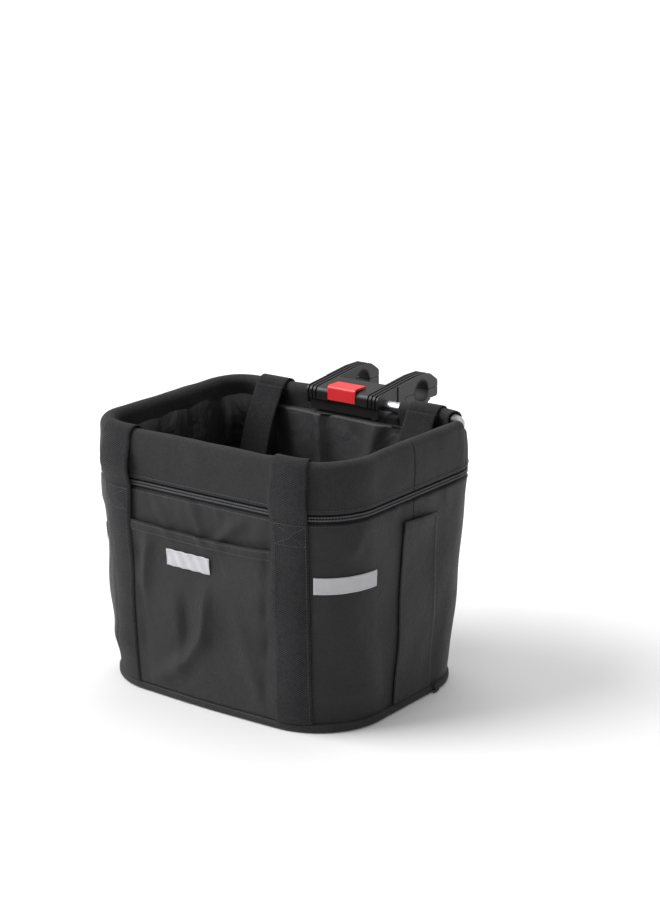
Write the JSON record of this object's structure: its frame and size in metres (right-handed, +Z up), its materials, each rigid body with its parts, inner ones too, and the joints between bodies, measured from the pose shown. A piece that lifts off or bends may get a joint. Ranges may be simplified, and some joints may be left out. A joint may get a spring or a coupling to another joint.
{
  "type": "handlebar basket",
  "caption": "Soft-sided bicycle basket with webbing carrying loops, zip collar and pockets, hung by a quick-release bracket from a handlebar.",
  "frame": {"origin": "centre of the handlebar, midway between the two clamps", "axes": "+X along the handlebar, the basket hangs in front towards -Y, +Z up"},
  "size_m": [0.3581, 0.3669, 0.3072],
  "materials": {
    "moulded_nylon": "moulded satin black",
    "shim_rubber": "matt black",
    "bolt_steel": "plated",
    "button_red": "moulded satin red",
    "rim_aluminium": "drawn satin",
    "collar_cloth": "coated polyester weave",
    "wall_cloth": "coated polyester weave",
    "lining_cloth": "smooth coated nylon",
    "zip_tape_cloth": "woven zip tape and coil",
    "zip_metal": "black",
    "reflective_strip": "grey reflective tape",
    "webbing": "ribbed webbing",
    "binding_tape": "woven binding tape",
    "board": "sheet"
  },
  "bodies": {
    "bracket": {"bracket_arm_left": "moulded_nylon", "bracket_arm_right": "moulded_nylon", "bracket_socket": "moulded_nylon", "clamp_cap_left": "moulded_nylon", "clamp_cap_right": "moulded_nylon", "rubber_shim_left": "shim_rubber", "rubber_shim_right": "shim_rubber", "clamp_bolts": "bolt_steel", "clamp_nuts": "bolt_steel", "keeper_spring": "bolt_steel"},
    "basket": {"head_upper": "moulded_nylon", "head_lower": "moulded_nylon", "head_screws": "bolt_steel", "button_springs": "bolt_steel", "rim_tube": "rim_aluminium", "tube_joiner": "rim_aluminium", "rim_sleeve_front": "collar_cloth", "rim_sleeve_rear_left": "collar_cloth", "rim_sleeve_rear_right": "collar_cloth", "collar": "collar_cloth", "zip_tape": "zip_tape_cloth", "zip_coils": "zip_tape_cloth", "wall_fabric": "wall_cloth", "lining": "lining_cloth", "tucked_cover": "lining_cloth", "back_pad": "lining_cloth", "front_pocket": "wall_cloth", "side_pocket_left": "wall_cloth", "side_pocket_right": "wall_cloth", "reflector_front": "reflective_strip", "reflector_left": "reflective_strip", "reflector_right": "reflective_strip", "front_strap_left": "webbing", "front_strap_right": "webbing", "rear_strap_left": "webbing", "rear_strap_right": "webbing"},
    "button": {"release_button": "button_red"},
    "latch": {"latch_slide": "moulded_nylon"},
    "base": {"base_board": "board", "base_panel": "wall_cloth", "base_binding": "binding_tape", "binding_end": "binding_tape"},
    "front_loop": {"front_handle": "webbing"},
    "rear_loop": {"rear_handle": "webbing"},
    "slider": {"zip_slider": "zip_metal"},
    "pull": {"zip_pull": "zip_metal"}
  },
  "joints": [
    {"name": "basket_lift_off", "type": "slide", "parent": "bracket", "child": "basket", "axis": [0, 0, 1], "range_m": [0, 0.06], "deforming": ["keeper_spring"]},
    {"name": "button_press", "type": "slide", "parent": "basket", "child": "button", "axis": [0, 0, -1], "range_m": [0, 0.003], "stiffness_N_per_m": 900, "springref_m": -0.003, "deforming": ["button_springs"]},
    {"name": "latch_draw", "type": "slide", "parent": "basket", "child": "latch", "axis": [0, -1, 0], "range_m": [0, 0.003]},
    {"name": "base_fold", "type": "slide", "parent": "basket", "child": "base", "axis": [0, 0, 1], "range_m": [0, 0.19], "deforming": ["wall_fabric", "lining", "back_pad", "front_pocket", "side_pocket_left", "side_pocket_right", "reflector_front", "reflector_left", "reflector_right", "front_strap_left", "front_strap_right", "rear_strap_left", "rear_strap_right", "front_handle", "rear_handle"]},
    {"name": "front_handle_swing", "type": "hinge", "parent": "basket", "child": "front_loop", "pos_m": [0, -0.323, -0.002], "axis": [1, 0, 0], "range_deg": [0, 165]},
    {"name": "rear_handle_swing", "type": "hinge", "parent": "basket", "child": "rear_loop", "pos_m": [0, -0.068, -0.002], "axis": [-1, 0, 0], "range_deg": [0, 145]},
    {"name": "zip_slide", "type": "slide", "parent": "basket", "child": "slider", "axis": [0, -1, 0], "range_m": [0, 0.13]},
    {"name": "zip_pull_swing", "type": "hinge", "parent": "slider", "child": "pull", "pos_m": [-0.18038, -0.122, -0.051], "axis": [0, 1, 0], "range_deg": [0, 150]}
  ],
  "couplings": [
    {"joint": "latch_draw", "follows": "button_press", "ratio": 1}
  ]
}
